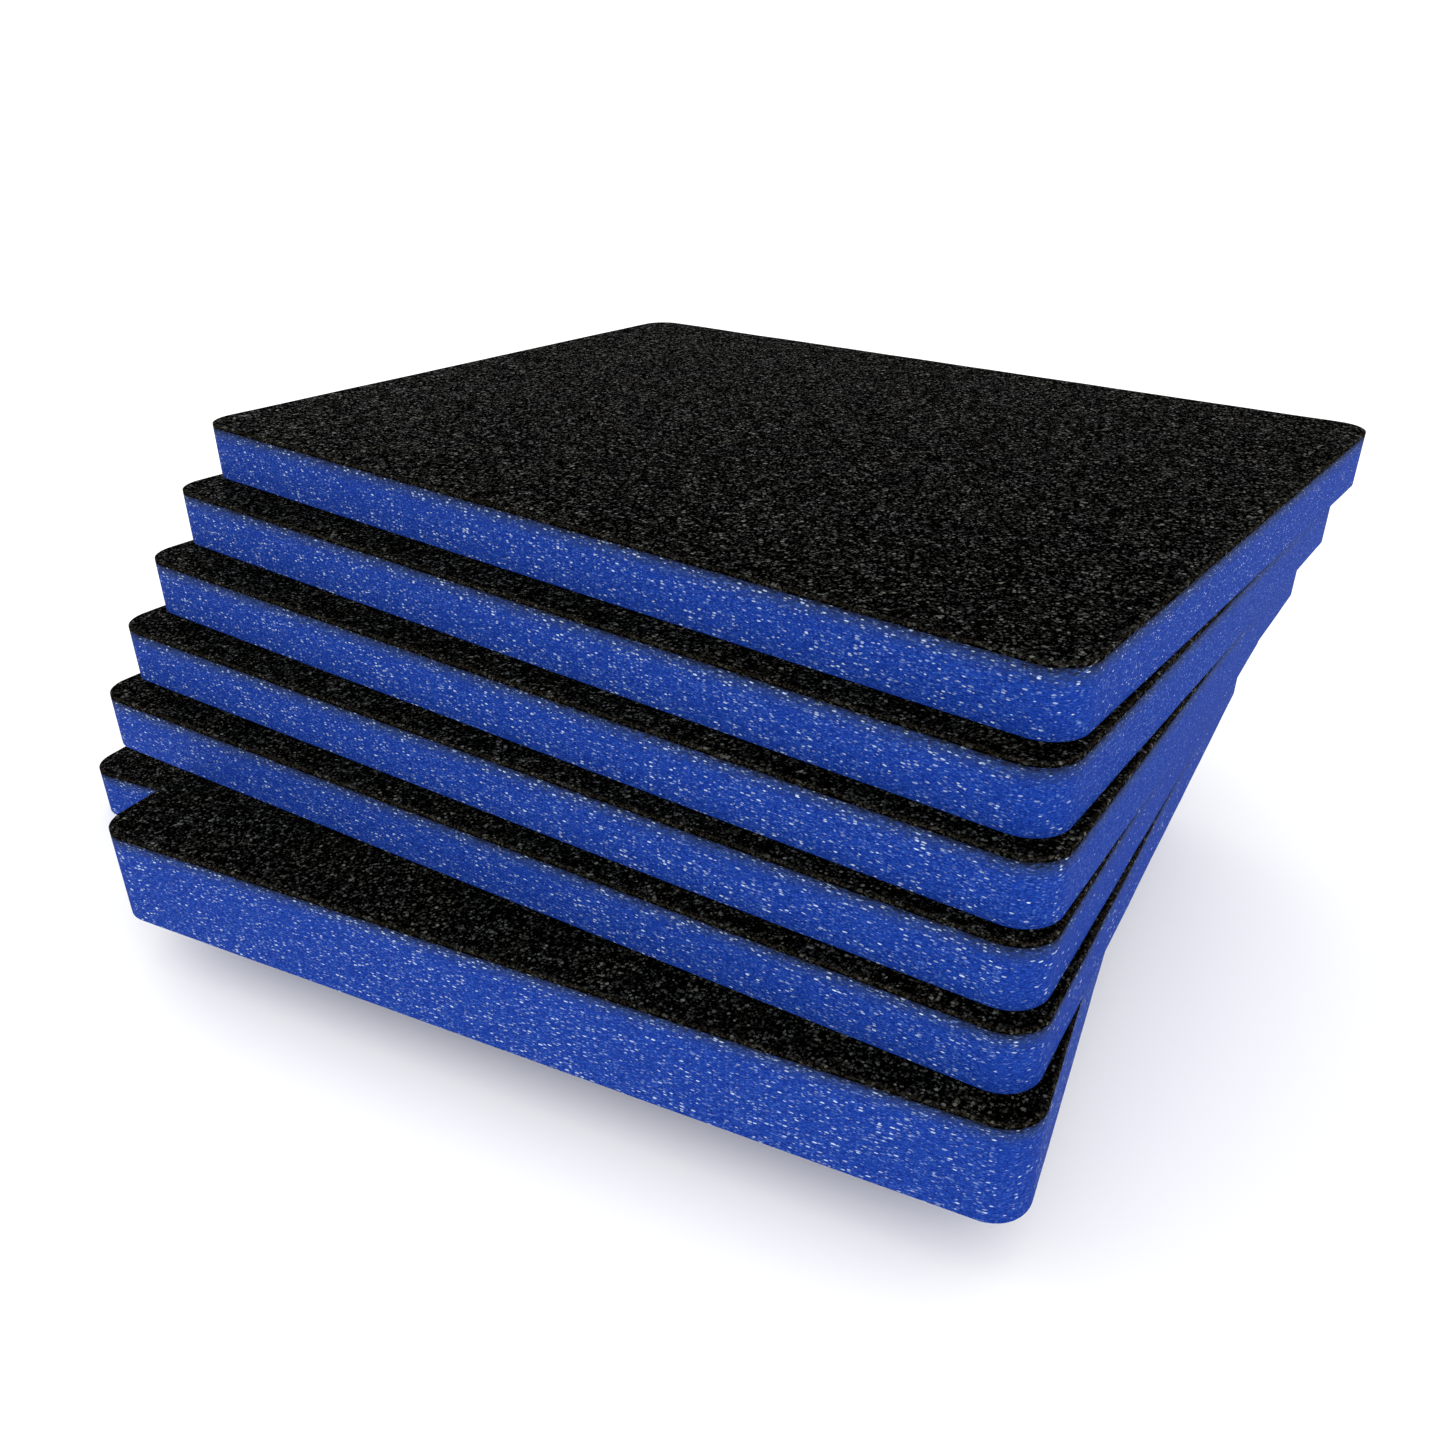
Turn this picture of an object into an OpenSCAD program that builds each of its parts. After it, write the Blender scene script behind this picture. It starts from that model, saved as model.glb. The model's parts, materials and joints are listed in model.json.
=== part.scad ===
// Blocking mats: a fanned stack of loose two-tone foam mats.
// Each mat is a thick foam core with a thin foam skin bonded to its upper face.
// Mats are numbered from the floor up. Mat 1 is square to the axes, and the origin
// is the centre of its underside. +X runs along its long edge and +Z is up.

/* [Standard mat] */
// Length of a standard mat, along its long edge
mat_length = 515; // [300:5:700]
// Width of every mat, the thick one too
mat_width = 392; // [250:2:600]
// Thickness of a standard mat, skin included
mat_thickness = 30; // [10:1:60]

/* [Thick mat] */
// Which mat of the stack is the thick one
thick_mat = 2; // [1:1:7]
// Length of the thick mat, along its long edge
thick_length = 455; // [300:5:700]
// Thickness of the thick mat, skin included
thick_thickness = 50; // [10:1:100]

/* [Foam] */
// Thickness of the skin bonded to the top of each core
skin_thickness = 2; // [1:0.5:6]
// Radius of each mat's four corners, seen from above
corner_radius = 17.5; // [5:0.5:60]

/* [Lay of each mat] */
// Air between each mat and the next, which foam never quite closes
lay_gap = 0.1; // [0.1:0.1:1]
// Mat 2: turn in degrees, then the shift of its centre along X and Y
lay_2 = [-1.5, 106, -104]; // [-180:0.5:180]
// Mat 3: turn, shift along X, shift along Y
lay_3 = [-7.5, 92, -66]; // [-180:0.5:180]
// Mat 4: turn, shift along X, shift along Y
lay_4 = [-9, 95, -51]; // [-180:0.5:180]
// Mat 5: turn, shift along X, shift along Y
lay_5 = [-11, 102, -36]; // [-180:0.5:180]
// Mat 6: turn, shift along X, shift along Y
lay_6 = [-13, 107, -18]; // [-180:0.5:180]
// Mat 7, the top one: turn, shift along X, shift along Y
lay_7 = [-14.5, 113, 2]; // [-180:0.5:180]

/* [Hidden] */
$fn = 96;
lays = [[0, 0, 0], lay_2, lay_3, lay_4, lay_5, lay_6, lay_7];
mat_count = len(lays);

// Length, width and thickness of mat n
function size_of(n) =
    n == thick_mat
        ? [thick_length, mat_width, thick_thickness]
        : [mat_length, mat_width, mat_thickness];

// Height of the underside of mat n above the floor
function underside_of(n) =
    n == 1 ? 0 : underside_of(n - 1) + size_of(n - 1).z + lay_gap;

// Outline of a mat seen from above, centred on the origin: a cross with a disc in each corner
module outline(size) {
    corner = [size.x / 2 - corner_radius, size.y / 2 - corner_radius];
    square([size.x, 2 * corner.y], center = true);
    square([2 * corner.x, size.y], center = true);
    for (side_x = [-1, 1], side_y = [-1, 1])
        translate([side_x * corner.x, side_y * corner.y])
            circle(r = corner_radius);
}

// Foam core of a mat, with its underside at zero height
module core(size) {
    color("#1a43b4")
        linear_extrude(size.z - skin_thickness)
            outline(size);
}

// Skin of a mat, bonded to the top of its core
module skin(size) {
    color("#171716")
        translate([0, 0, size.z - skin_thickness])
            linear_extrude(skin_thickness)
                outline(size);
}

// Puts its children where mat n lies in the stack
module laid(n) {
    lay = lays[n - 1];
    translate([lay[1], lay[2], underside_of(n)])
        rotate(lay[0])
            children();
}

for (n = [1 : mat_count]) {
    laid(n) core(size_of(n));
    laid(n) skin(size_of(n));
}
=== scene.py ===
import json
import math
from collections import namedtuple

import bmesh
import bpy
import numpy as np
from mathutils import Euler, Matrix, Vector, noise

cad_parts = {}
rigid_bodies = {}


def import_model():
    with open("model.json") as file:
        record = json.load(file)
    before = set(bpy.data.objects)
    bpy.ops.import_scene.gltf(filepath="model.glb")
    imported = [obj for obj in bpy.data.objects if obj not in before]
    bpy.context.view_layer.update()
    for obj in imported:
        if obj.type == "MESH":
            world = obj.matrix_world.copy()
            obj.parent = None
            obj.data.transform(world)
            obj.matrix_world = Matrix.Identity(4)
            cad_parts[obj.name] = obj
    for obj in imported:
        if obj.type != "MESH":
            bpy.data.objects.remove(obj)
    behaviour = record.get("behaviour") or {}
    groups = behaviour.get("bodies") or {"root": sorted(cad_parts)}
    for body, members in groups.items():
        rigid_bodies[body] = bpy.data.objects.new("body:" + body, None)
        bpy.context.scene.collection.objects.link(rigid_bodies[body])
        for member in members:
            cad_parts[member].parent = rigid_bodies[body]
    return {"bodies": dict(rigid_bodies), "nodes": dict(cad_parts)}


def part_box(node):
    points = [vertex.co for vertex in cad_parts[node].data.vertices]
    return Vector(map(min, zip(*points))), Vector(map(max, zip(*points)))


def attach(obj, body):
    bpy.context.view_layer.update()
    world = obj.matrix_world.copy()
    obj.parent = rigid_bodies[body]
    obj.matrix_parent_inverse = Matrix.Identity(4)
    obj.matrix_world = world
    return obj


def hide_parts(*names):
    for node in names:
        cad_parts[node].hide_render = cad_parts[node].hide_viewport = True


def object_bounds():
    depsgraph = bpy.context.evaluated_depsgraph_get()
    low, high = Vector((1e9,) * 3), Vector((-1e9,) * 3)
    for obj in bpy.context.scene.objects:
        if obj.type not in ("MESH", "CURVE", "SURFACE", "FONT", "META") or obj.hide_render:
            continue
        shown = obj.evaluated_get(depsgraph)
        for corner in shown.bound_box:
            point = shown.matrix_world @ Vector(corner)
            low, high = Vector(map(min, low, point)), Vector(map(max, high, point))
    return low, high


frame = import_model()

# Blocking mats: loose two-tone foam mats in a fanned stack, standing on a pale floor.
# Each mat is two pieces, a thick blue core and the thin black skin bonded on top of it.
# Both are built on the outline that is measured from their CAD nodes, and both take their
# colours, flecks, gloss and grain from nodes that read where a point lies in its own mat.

MM = 0.001

# ---- Shape of the foam -------------------------------------------------------------

POINT_SPACING = 3.0 * MM  # between mesh points, along the sides and over the top
ROW_SPACING = 0.8 * POINT_SPACING  # between the rows up a core's side and in from a mat's rim
SKIN_ROW_SPACING = 0.6 * MM  # between the rows up the skin's side
WELD_DISTANCE = POINT_SPACING / 1000  # points nearer than this are one
ARC_STEPS = 16  # faces round each corner of a mat
EDGE_STEPS = 5  # faces over each soft edge
RIM_RADIUS = 0.8 * MM  # soft edge between the cut side and the top
HEEL_RADIUS = 0.4 * MM  # crisper edge between the cut side and the underside
CUT_DEPTH = 0.25 * MM  # how far the blade wandered into the side
CUT_WAVE = 38 * MM  # length of those waves
CUT_STEADINESS = 0.4  # how fast they change up the side, as a share of how fast along it
SEAM_DEPTH = 0.15 * MM  # how far the line between skin and core wanders up and down
SEAM_WAVE = 15 * MM  # length of those waves
SEAM_REACH = 3 * SEAM_DEPTH  # inside this distance of the seam, points wander with it
DIMPLE_DEPTH = 0.3 * MM  # how far the top sinks in shallow dimples
DIMPLE_WAVE = 46 * MM  # width of the dimples
DIMPLE_LAYER = 0.5  # height in the noise that dimples are read at, far from that of the seam
FADE_IN = 8 * MM  # inside this distance of the side, the top takes on the side's waves
FOAM_SHIFT = 0.9  # metres between the foam of one mat and that of the next, as cut from one sheet
UNWORN, RUBBED, WORN_AND_HIGHLIT = 0.0, 0.4, 1.0  # how worn a point is, which on the skin's edges also places a painted highlight: flat faces, the skin's side, edges

# ---- Camera and studio -------------------------------------------------------------

SENSOR = 36.0  # width of the camera's sensor, in mm
LENS = 30.06  # its focal length, in mm
VIEW_AZIMUTH = math.radians(23.37)  # of the camera, round the stack from its front
VIEW_ELEVATION = math.radians(28.37)  # of the camera above the floor
VIEW_ROLL = math.radians(0.10)  # of the camera about the line of sight
VIEW_DISTANCE = 0.6024  # metres from the camera to the point it looks at
AIM_OFFSET = Vector((0.0603, -0.1075, 0.0))  # that point, from the middle of the stack
ROOM_LIGHT = 1.2  # strength of the even light from all round
SOFTBOX_ANGLE = math.radians(70)  # how wide each softbox looks from the stack
FLOOR_GAP = 0.2 * MM  # between the floor and the lowest mat
FLOOR_REACH = 20  # half the floor's width, in sizes of the stack

# ---- Colours, as linear red, green and blue, and flecks ----------------------------

COBALT = (0.0010, 0.013, 0.145, 1), (0.009, 0.044, 0.300, 1)  # the core, from dark to light
GREYED_COBALT = (0.014, 0.027, 0.090, 1)  # the core within a few mm of the skin
DARKENED_COBALT = (0.004, 0.005, 0.009, 1)  # the core right under the skin
CORE_DUST = (0.08, 0.19, 0.50, 1)  # the core's finest flecks
CORE_MIDDLING = (0.20, 0.32, 0.62, 1)  # its middling ones
CORE_BRIGHT = (0.48, 0.58, 0.72, 1)  # and its largest
BLACK = (0.0001, 0.0001, 0.0001, 1), (0.0004, 0.0004, 0.0003, 1)  # the skin, from dark to light
SKIN_FLECK = (0.098, 0.104, 0.097, 1), (0.106, 0.104, 0.088, 1)  # from cool to warm grey
SCUFF_AND_HIGHLIGHT = (0.045, 0.036, 0.026, 1)  # the skin's rim, partly a rubbed scuff and partly a painted highlight
PAPER = (0.90, 0.90, 0.90, 1), (0.92, 0.92, 0.92, 1)  # the floor, from dark to light
FLECK_SOFTNESS = 0.3  # share of a fleck's radius over which its rim fades out


# ---- Measuring the frame -----------------------------------------------------------

# Where a mat lies and how large it is, its heights counted from its own underside
Mat = namedtuple("Mat", "name number middle turn half_length half_width corner seam top")
# One ring of points: how far out of the mat's inner rectangle, how high, and how worn, which also
# places the skin's painted rim highlight
Row = namedtuple("Row", "reach height wear")


def outline_of(node):
    """The points of a CAD node's outline seen from above, in order round its middle."""
    points = {(round(v.co.x, 7), round(v.co.y, 7)) for v in node.data.vertices}
    points = np.array(sorted(points))
    x, y = (points - points.mean(axis=0)).T
    return points[np.argsort(np.arctan2(y, x))]


def measure_mat(number):
    """Where a mat lies and how large it is, from its two CAD nodes."""
    name = f"mat_{number}"
    points = outline_of(frame["nodes"][f"{name}_core"])
    sides = np.roll(points, -1, axis=0) - points
    longest = sides[np.argmax(np.hypot(*sides.T))]
    if longest[0] < 0:
        longest = -longest
    straight = math.hypot(*longest)
    along = longest / straight
    across = np.array((-along[1], along[0]))
    lengthwise, crosswise = points @ along, points @ across
    half_length = np.ptp(lengthwise) / 2
    half_width = np.ptp(crosswise) / 2
    centre = along * (lengthwise.min() + half_length) + across * (crosswise.min() + half_width)
    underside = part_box(f"{name}_core")[0].z
    return Mat(
        name=name,
        number=number,
        middle=Vector((*centre, underside)),
        turn=math.atan2(along[1], along[0]),
        half_length=half_length,
        half_width=half_width,
        corner=half_length - straight / 2,
        seam=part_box(f"{name}_core")[1].z - underside,
        top=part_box(f"{name}_skin")[1].z - underside,
    )


# ---- Foam pieces -------------------------------------------------------------------

def outline_fan(mat):
    """Points round the mat's inner rectangle and the way out from each: the mat's own outline
    is one corner radius out, and the ways out fan round each corner."""
    half_x, half_y = mat.half_length - mat.corner, mat.half_width - mat.corner
    corners = [(half_x, half_y), (-half_x, half_y), (-half_x, -half_y), (half_x, -half_y)]
    points, outward = [], []
    for quarter, (x, y) in enumerate(corners):
        for step in range(ARC_STEPS + 1):
            angle = (quarter + step / ARC_STEPS) * math.pi / 2
            points.append((x, y))
            outward.append((math.cos(angle), math.sin(angle)))
        next_x, next_y = corners[(quarter + 1) % 4]
        steps = round(math.hypot(next_x - x, next_y - y) / POINT_SPACING)
        for step in range(1, steps):
            share = step / steps
            points.append((x + (next_x - x) * share, y + (next_y - y) * share))
            outward.append(outward[-1])
    return np.array(points), np.array(outward)


def soft_edge(reach, height, radius, start, end, wear):
    """Rows round a soft edge, centred on (reach, height), between two angles in degrees."""
    for step in range(EDGE_STEPS + 1):
        angle = math.radians(start + (end - start) * step / EDGE_STEPS)
        yield Row(reach + radius * math.cos(angle), height + radius * math.sin(angle), wear)


def evenly(start, end, spacing):
    """Values from start to end, both left out, about one spacing apart."""
    steps = max(1, round(abs(end - start) / spacing))
    return [start + (end - start) * step / steps for step in range(1, steps)]


def core_rows(mat):
    """The core's profile, from its underside out over the heel and up the cut side to the seam."""
    rows = list(soft_edge(mat.corner - HEEL_RADIUS, HEEL_RADIUS, HEEL_RADIUS, -90, 0, WORN_AND_HIGHLIT))
    for height in evenly(HEEL_RADIUS, mat.seam, ROW_SPACING):
        rows.append(Row(mat.corner, height, UNWORN))
    rows.append(Row(mat.corner, mat.seam, UNWORN))
    return rows


def skin_rows(mat):
    """The skin's profile, from the seam up the cut side, over the rim and in across the top."""
    rows = [Row(mat.corner, mat.seam, UNWORN)]
    for height in evenly(mat.seam, mat.top - RIM_RADIUS, SKIN_ROW_SPACING):
        rows.append(Row(mat.corner, height, RUBBED))
    rows += soft_edge(mat.corner - RIM_RADIUS, mat.top - RIM_RADIUS, RIM_RADIUS, 0, 90, WORN_AND_HIGHLIT)
    for reach in evenly(mat.corner - RIM_RADIUS, 0.0, ROW_SPACING):
        rows.append(Row(reach, mat.top, UNWORN))
    rows.append(Row(0.0, mat.top, UNWORN))
    return rows


def wave(point, number, wavelength, octaves=2):
    """Smooth noise from 0 to 1 at a point of a mat, never the same in two mats."""
    place = Vector((point[0] + number * FOAM_SHIFT, point[1], point[2])) / wavelength
    return min(max(0.5 + 0.5 * noise.fractal(place, 1.0, 2.0, octaves), 0.0), 1.0)


def worn_point(mat, point, outward):
    """Moves a point of the ideal mat by the blade's waves, the seam's and the top's dimples.
    Every move is into the mat, so that it stays within its CAD nodes, or along the seam."""
    x, y, z = point
    inside = max(mat.half_length - abs(x), 0), max(mat.half_width - abs(y), 0)
    near_side = max(1 - min(inside) / FADE_IN, 0.0)
    cut = CUT_DEPTH * near_side * wave((x, y, z * CUT_STEADINESS), mat.number, CUT_WAVE)
    near_seam = max(1 - abs(z - mat.seam) / SEAM_REACH, 0.0)
    seam = SEAM_DEPTH * near_seam * (2 * wave((x, y, 0.0), mat.number, SEAM_WAVE) - 1)
    rise = min(max((z - mat.seam) / (mat.top - mat.seam), 0.0), 1.0)
    dimple = DIMPLE_DEPTH * rise * wave((x, y, DIMPLE_LAYER), mat.number, DIMPLE_WAVE, octaves=3)
    return x - outward[0] * cut, y - outward[1] * cut, z + seam - dimple


def ring_faces(rings, points):
    """Quads between each ring of points and the next."""
    return [
        (a + i, a + (i + 1) % points, b + (i + 1) % points, b + i)
        for a, b in zip(range(0, rings * points, points), range(points, rings * points, points))
        for i in range(points)
    ]


def top_grid(mat, height):
    """Points and quads that fill the mat's inner rectangle at one height."""
    half_x, half_y = mat.half_length - mat.corner, mat.half_width - mat.corner
    across = round(2 * half_x / POINT_SPACING) + 1
    down = round(2 * half_y / POINT_SPACING) + 1
    x, y = np.meshgrid(np.linspace(-half_x, half_x, across), np.linspace(-half_y, half_y, down))
    points = np.column_stack((x.ravel(), y.ravel(), np.full(x.size, height)))
    faces = [
        (r * across + c, r * across + c + 1, (r + 1) * across + c + 1, (r + 1) * across + c)
        for r in range(down - 1)
        for c in range(across - 1)
    ]
    return points, faces


def foam_piece(mat, layer, rows, open_top, material):
    """One layer of a mat as a closed mesh: its rows swept round the outline, closed by flat faces,
    or by a fine grid where its top is seen."""
    base, outward = outline_fan(mat)
    count = len(base)
    ideal = np.vstack([
        np.column_stack((base + outward * row.reach, np.full(count, row.height))) for row in rows
    ])
    ways = np.tile(outward, (len(rows), 1))
    wear = np.repeat([row.wear for row in rows], count)
    faces = ring_faces(len(rows), count)
    flat_faces = [tuple(range(count))[::-1]]
    if open_top:
        grid, grid_faces = top_grid(mat, mat.top)
        faces += [tuple(corner + len(ideal) for corner in face) for face in grid_faces]
        ideal = np.vstack((ideal, grid))
        ways = np.vstack((ways, np.zeros((len(grid), 2))))
        wear = np.concatenate((wear, np.zeros(len(grid))))
    else:
        flat_faces.append(tuple(range(len(ideal) - count, len(ideal))))
    worn = [worn_point(mat, point, way) for point, way in zip(ideal, ways)]
    mesh = bpy.data.meshes.new(f"{mat.name}_{layer}")
    mesh.from_pydata(worn, [], faces + flat_faces)
    note_foam_place(mesh, mat, ideal, wear)
    mesh.polygons.foreach_set("use_smooth", [True] * len(faces) + [False] * len(flat_faces))
    weld(mesh)
    mesh.transform(Matrix.Translation(mat.middle) @ Matrix.Rotation(mat.turn, 4, "Z"))
    mesh.materials.append(material)
    piece = bpy.data.objects.new(f"{mat.name}_{layer}_foam", mesh)
    bpy.context.scene.collection.objects.link(piece)
    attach(piece, mat.name)
    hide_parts(f"{mat.name}_{layer}")


def note_foam_place(mesh, mat, ideal, wear):
    """Stores where each point lies in the foam, for the materials: along the mat, across it and
    up from the seam, in metres, and how worn it is, which also places the skin's painted
    rim highlight."""
    place = ideal + (mat.number * FOAM_SHIFT, 0.0, -mat.seam)
    attribute = mesh.attributes.new("foam_place", "FLOAT_VECTOR", "POINT")
    attribute.data.foreach_set("vector", place.astype(np.float32).ravel())
    attribute = mesh.attributes.new("foam_wear", "FLOAT", "POINT")
    attribute.data.foreach_set("value", wear.astype(np.float32))


def weld(mesh):
    """Joins the points that lie on each other, where the rings close on the grid."""
    build = bmesh.new()
    build.from_mesh(mesh)
    bmesh.ops.remove_doubles(build, verts=build.verts, dist=WELD_DISTANCE)
    bmesh.ops.recalc_face_normals(build, faces=build.faces)
    build.to_mesh(mesh)
    build.free()


# ---- Materials ---------------------------------------------------------------------

class Graph:
    """The nodes of one material. Each method adds a node and returns its output."""

    def __init__(self, name):
        self.material = bpy.data.materials.new(name)
        self.material.use_nodes = True
        self.tree = self.material.node_tree
        self.surface = self.tree.nodes["Principled BSDF"]

    def node(self, kind, inputs, output=0, **settings):
        """A node with its settings, its inputs given as values or as other nodes' outputs."""
        made = self.tree.nodes.new(kind)
        for key, value in settings.items():
            setattr(made, key, value)
        for key, value in inputs.items():
            if isinstance(value, bpy.types.NodeSocket):
                self.tree.links.new(value, made.inputs[key])
            else:
                made.inputs[key].default_value = value
        return made.outputs[output]

    def math(self, operation, first, second=0.0):
        """The result of an operation on two values."""
        return self.node("ShaderNodeMath", {0: first, 1: second}, operation=operation)

    def sum_of(self, first, second, times, plus=0.0):
        """One value added to another that is first multiplied, and a constant added to both."""
        inputs = {0: second, 1: times, 2: plus}
        scaled = self.node("ShaderNodeMath", inputs, operation="MULTIPLY_ADD")
        return self.math("ADD", first, scaled)

    def place(self, stretch=1.0, squash=1.0):
        """Where a point lies in the foam, in millimetres. Whatever is drawn with it comes out
        stretched along and across the mat by one number, and squashed in height by the other."""
        foam = self.node("ShaderNodeAttribute", {}, output="Vector", attribute_name="foam_place")
        scale = (1 / MM / stretch, 1 / MM / stretch, squash / MM)
        return self.node("ShaderNodeVectorMath", {0: foam, 1: scale}, operation="MULTIPLY")

    def warp(self, place, size, amount):
        """The place moved about by smooth noise of that size, by up to that amount, in mm."""
        inputs = {"Vector": place, "Scale": 1 / size, "Detail": 1.0}
        drift = self.node("ShaderNodeTexNoise", inputs, output="Color")
        return self.node(
            "ShaderNodeVectorMath",
            {0: drift, 1: (2 * amount,) * 3, 2: place},
            operation="MULTIPLY_ADD",
        )

    def noise(self, place, size, detail=2.0):
        """Smooth noise from 0 to 1, with features of that size in mm."""
        return self.node(
            "ShaderNodeTexNoise", {"Vector": place, "Scale": 1 / size, "Detail": detail}
        )

    def fade(self, value, start, end, low=0.0, high=1.0):
        """A smooth step from low, where value is start, to high, where value is end."""
        return self.node(
            "ShaderNodeMapRange",
            {"Value": value, "From Min": start, "From Max": end, "To Min": low, "To Max": high},
            interpolation_type="SMOOTHSTEP",
        )

    def blend(self, share, first, second):
        """A colour between two others."""
        return self.node(
            "ShaderNodeMix", {0: share, 6: first, 7: second}, output=2, data_type="RGBA"
        )

    def flecks(self, place, spacing, width, chance):
        """Specks scattered through the foam, 0 between them and up to 1 inside: about one to each
        cell of that spacing, up to that width across, and shown with that chance, most faintly."""
        cells = self.tree.nodes.new("ShaderNodeTexVoronoi")
        cells.inputs["Scale"].default_value = 1 / spacing
        self.tree.links.new(place, cells.inputs["Vector"])
        dice = self.node("ShaderNodeSeparateColor", {0: cells.outputs["Color"]}).node
        radius = self.math("MULTIPLY", dice.outputs[0], width / 2 / spacing)
        depth = self.math("SUBTRACT", radius, cells.outputs["Distance"])
        body = self.fade(depth, 0.0, FLECK_SOFTNESS * width / 2 / spacing)
        chosen = self.fade(dice.outputs[1], 1 - chance, 1.0)
        return self.math("MULTIPLY", body, chosen)

    def bump(self, height, distance, strength, normal=None):
        """A surface roughened by a height, on top of any roughening already done."""
        inputs = {"Height": height, "Distance": distance, "Strength": strength}
        if normal is not None:
            inputs["Normal"] = normal
        return self.node("ShaderNodeBump", inputs)

    def finish(self, **inputs):
        """Fills the surface's inputs, named with underscores for spaces."""
        for key, value in inputs.items():
            socket = self.surface.inputs[key.replace("_", " ")]
            if isinstance(value, bpy.types.NodeSocket):
                self.tree.links.new(value, socket)
            else:
                socket.default_value = value
        return self.material


def core_material():
    """Cobalt closed-cell foam, cut with a blade: mottled, flecked with white, and greyed and
    darkened towards the skin. Sizes and heights are in mm."""
    g = Graph("core_foam")
    place = g.place(stretch=1.45, squash=1.9)
    loose = g.warp(g.warp(place, size=2.5, amount=0.35), size=0.6, amount=0.15)
    height = g.node("ShaderNodeSeparateXYZ", {0: g.place()}, output=2)

    mottle = g.noise(loose, size=0.8, detail=3.0)
    colour = g.blend(g.fade(mottle, 0.3, 0.7), *COBALT)
    ragged = g.noise(loose, size=1.4, detail=4.0)
    ragged_by = 5.0
    near_skin = g.sum_of(height, ragged, 2 * ragged_by, -ragged_by)
    greyed = g.fade(near_skin, -9.0, -1.0, 0.0, 0.85)
    colour = g.blend(greyed, colour, GREYED_COBALT)

    clusters = g.fade(g.noise(place, size=5.0, detail=1.0), 0.35, 0.62, 0.3, 1.0)
    clusters = g.math("MAXIMUM", clusters, g.fade(near_skin, -6.0, -2.5))
    dust = g.flecks(loose, spacing=0.8, width=1.2, chance=0.8)
    colour = g.blend(g.math("MULTIPLY", dust, 0.3), colour, CORE_DUST)
    middling = g.flecks(loose, spacing=1.2, width=1.35, chance=0.6)
    colour = g.blend(g.math("MULTIPLY", middling, 0.38), colour, CORE_MIDDLING)
    bright = g.math("MULTIPLY", g.flecks(loose, spacing=1.7, width=1.75, chance=0.5), clusters)
    colour = g.blend(bright, colour, CORE_BRIGHT)

    # darker right under the skin, over the last few mm below the seam
    darkened_under_skin = g.fade(near_skin, -3.2, 0.7, 0.0, 0.94)
    colour = g.blend(darkened_under_skin, colour, DARKENED_COBALT)

    grain = g.noise(place, size=0.9, detail=3.0)
    cell_size = 1.1
    cells = g.node("ShaderNodeTexVoronoi", {"Vector": loose, "Scale": 1 / cell_size})
    normal = g.bump(cells, distance=0.12 * MM, strength=0.5)
    normal = g.bump(grain, distance=0.2 * MM, strength=0.5, normal=normal)
    roughness = g.fade(g.sum_of(grain, bright, -0.3), 0.2, 0.7, 0.62, 0.9)
    return g.finish(
        Base_Color=colour,
        Roughness=roughness,
        Normal=normal,
        Specular_IOR_Level=0.05,
    )


def skin_material():
    """Near-black foam skin with soft grey flecks, scuffed to a tan grey along its rim, where a
    painted highlight also lies. Sizes are in mm."""
    g = Graph("skin_foam")
    place = g.place(squash=1.3)
    loose = g.warp(g.warp(place, size=2.5, amount=0.5), size=0.7, amount=0.2)
    wear = g.node("ShaderNodeAttribute", {}, output="Fac", attribute_name="foam_wear")

    mottle = g.noise(place, size=26.0, detail=4.0)
    colour = g.blend(g.fade(mottle, 0.3, 0.7), *BLACK)
    tint = g.noise(place, size=30.0, detail=1.0)
    grey = g.blend(g.fade(tint, 0.45, 0.6), *SKIN_FLECK)
    clusters = g.fade(g.noise(place, size=4.0, detail=2.0), 0.38, 0.62, 0.25, 1.0)
    dust = g.math("MULTIPLY", g.flecks(loose, spacing=1.0, width=1.5, chance=0.9), 0.35)
    middling = g.math("MULTIPLY", g.flecks(loose, spacing=1.4, width=2.0, chance=0.6), 0.7)
    bright = g.flecks(loose, spacing=2.0, width=2.2, chance=0.6)
    fleck = g.math("MAXIMUM", g.math("MAXIMUM", dust, middling), bright)
    fleck = g.math("MULTIPLY", fleck, clusters)
    colour = g.blend(fleck, colour, grey)

    # a tan grey line along the rim: partly scuffing, partly a painted highlight
    patchy = g.fade(g.noise(loose, size=1.0), 0.42, 0.65, 0.0, 0.3)
    scuffed_and_highlit = g.math("MULTIPLY", g.fade(wear, 0.6, 1.0), patchy)
    colour = g.blend(scuffed_and_highlit, colour, SCUFF_AND_HIGHLIGHT)

    grain = g.noise(place, size=0.8, detail=3.0)
    normal = g.bump(bright, distance=0.1 * MM, strength=0.4)
    normal = g.bump(grain, distance=0.18 * MM, strength=0.5, normal=normal)
    roughness = g.fade(grain, 0.25, 0.7, 0.38, 0.52)
    return g.finish(
        Base_Color=colour,
        Roughness=roughness,
        Normal=normal,
        Specular_IOR_Level=g.math("MULTIPLY", fleck, 0.025),
    )


# ---- Studio ------------------------------------------------------------------------

def floor_material():
    """Pale seamless paper: nearly white and matt, with the faintest unevenness."""
    g = Graph("studio_paper")
    spot = g.node("ShaderNodeTexCoord", {}, output="Object")
    uneven = g.node("ShaderNodeTexNoise", {"Vector": spot, "Scale": 1.5, "Detail": 2.0})
    colour = g.blend(g.fade(uneven, 0.3, 0.7), *PAPER)
    return g.finish(Base_Color=colour, Roughness=0.9, Specular_IOR_Level=0.1)


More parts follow.
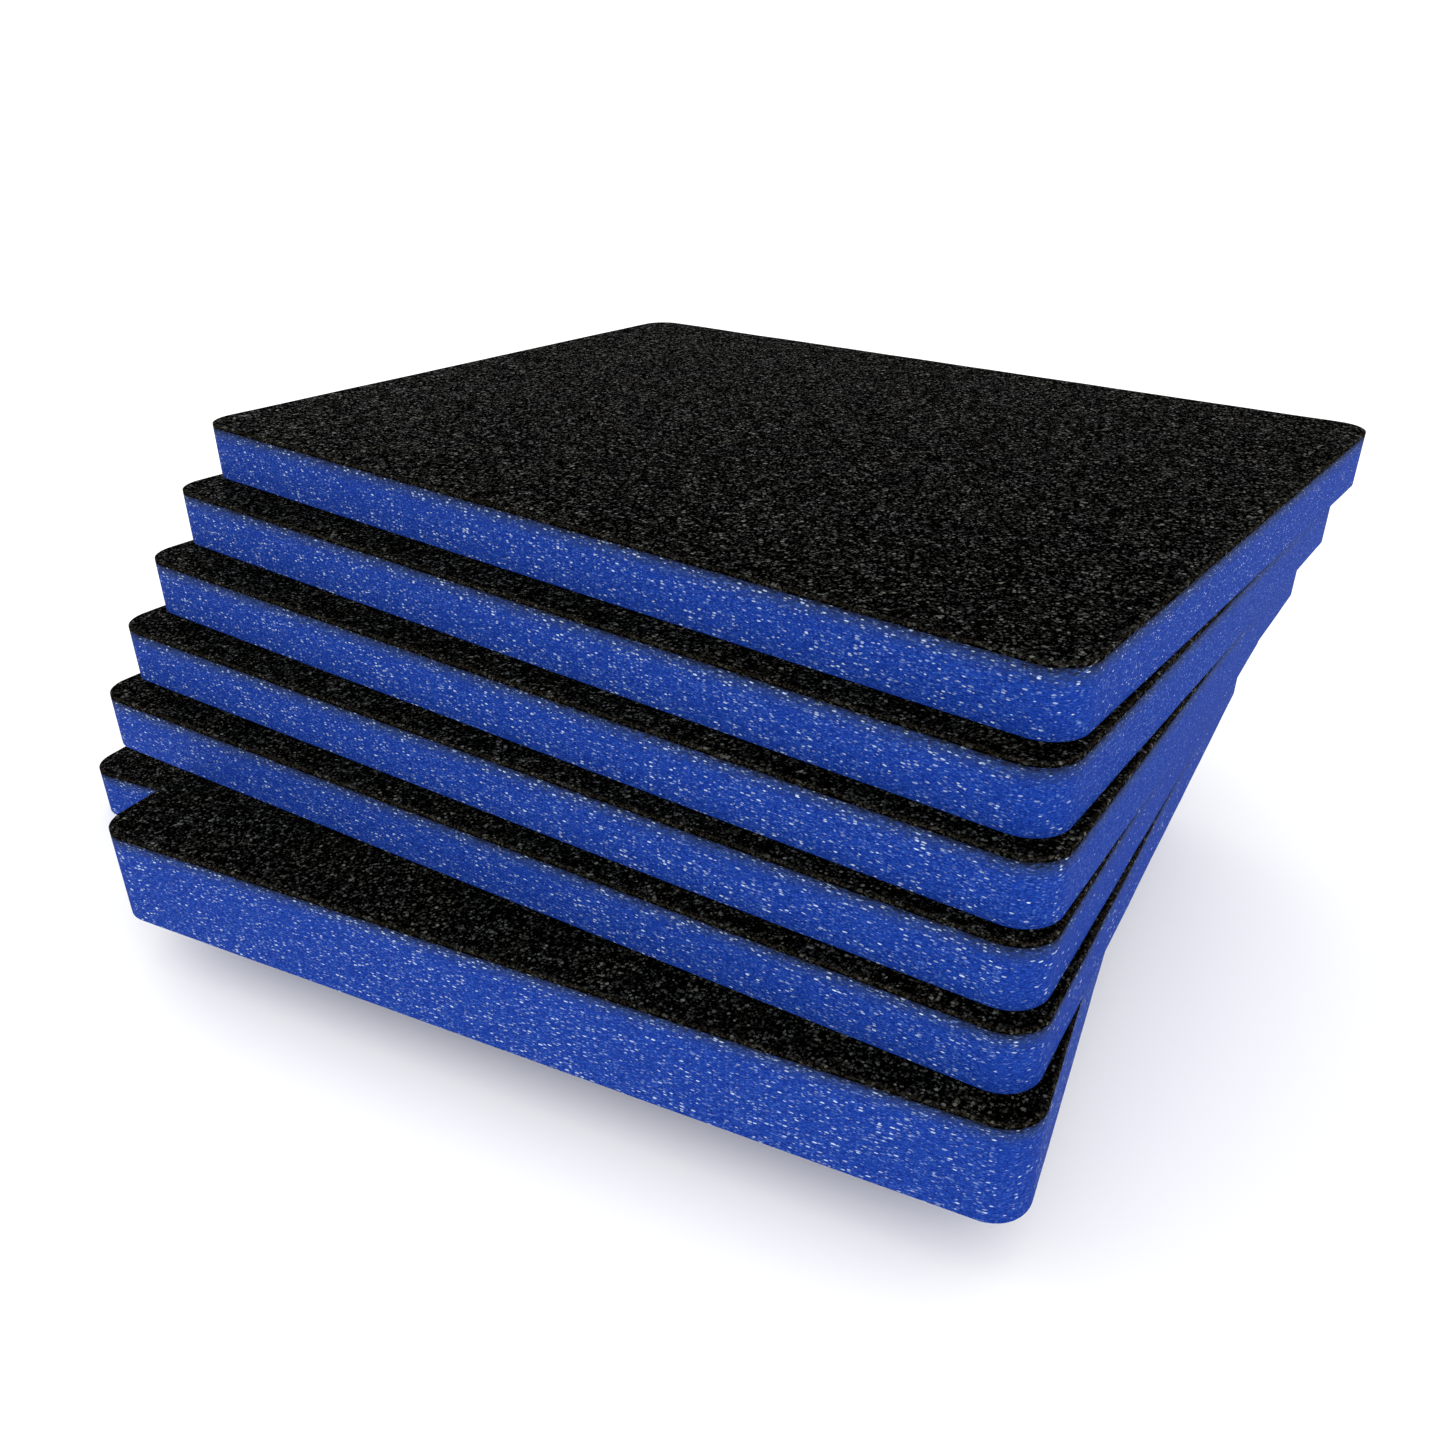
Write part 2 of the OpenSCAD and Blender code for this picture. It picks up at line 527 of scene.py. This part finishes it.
def make_floor(lo, hi):
    """A wide pale floor just under the lowest mat."""
    reach = FLOOR_REACH * (hi - lo).length
    mesh = bpy.data.meshes.new("floor")
    signs = [(-1, -1), (1, -1), (1, 1), (-1, 1)]
    corners = [(x * reach, y * reach, lo.z - FLOOR_GAP) for x, y in signs]
    mesh.from_pydata(corners, [], [(0, 1, 2, 3)])
    mesh.materials.append(floor_material())
    floor = bpy.data.objects.new("floor", mesh)
    bpy.context.scene.collection.objects.link(floor)


def make_lamp(name, azimuth, elevation, power):
    """A wide softbox, far enough away to light the whole floor evenly, in a direction given as
    for the camera."""
    data = bpy.data.lights.new(name, "SUN")
    data.angle = SOFTBOX_ANGLE
    data.energy = power
    lamp = bpy.data.objects.new(name, data)
    lamp.rotation_euler = (math.pi / 2 - math.radians(elevation), 0, math.radians(azimuth))
    bpy.context.scene.collection.objects.link(lamp)


def make_world(strength):
    """Even white light from all round."""
    world = bpy.data.worlds.new("studio")
    world.use_nodes = True
    backdrop = world.node_tree.nodes["Background"]
    backdrop.inputs["Color"].default_value = (1, 1, 1, 1)
    backdrop.inputs["Strength"].default_value = strength
    bpy.context.scene.world = world


def make_camera(lo, hi):
    """The camera, at the photograph's viewing angle."""
    data = bpy.data.cameras.new("camera")
    data.sensor_width = SENSOR
    data.lens = LENS
    camera = bpy.data.objects.new("camera", data)
    turn = Euler((math.pi / 2 - VIEW_ELEVATION, 0, VIEW_AZIMUTH)).to_matrix()
    turn = turn @ Matrix.Rotation(VIEW_ROLL, 3, "Z")
    aim = (lo + hi) / 2 + AIM_OFFSET
    camera.location = aim + turn @ Vector((0, 0, VIEW_DISTANCE))
    camera.rotation_euler = turn.to_euler()
    bpy.context.scene.collection.objects.link(camera)
    bpy.context.scene.camera = camera


def make_studio(lo, hi):
    """Floor, light and camera."""
    make_floor(lo, hi)
    make_world(ROOM_LIGHT)
    make_lamp("back_softbox", azimuth=250, elevation=20, power=0.7)
    make_lamp("front_softbox", azimuth=35, elevation=22, power=1.6)
    make_camera(lo, hi)
    bpy.context.scene.view_settings.view_transform = "Standard"


# ---- The whole scene ---------------------------------------------------------------

cad_lo, cad_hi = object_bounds()
core_foam = core_material()
skin_foam = skin_material()
for number in range(1, len(frame["bodies"]) + 1):
    mat = measure_mat(number)
    foam_piece(mat, "core", core_rows(mat), open_top=False, material=core_foam)
    foam_piece(mat, "skin", skin_rows(mat), open_top=True, material=skin_foam)
make_studio(cad_lo, cad_hi)
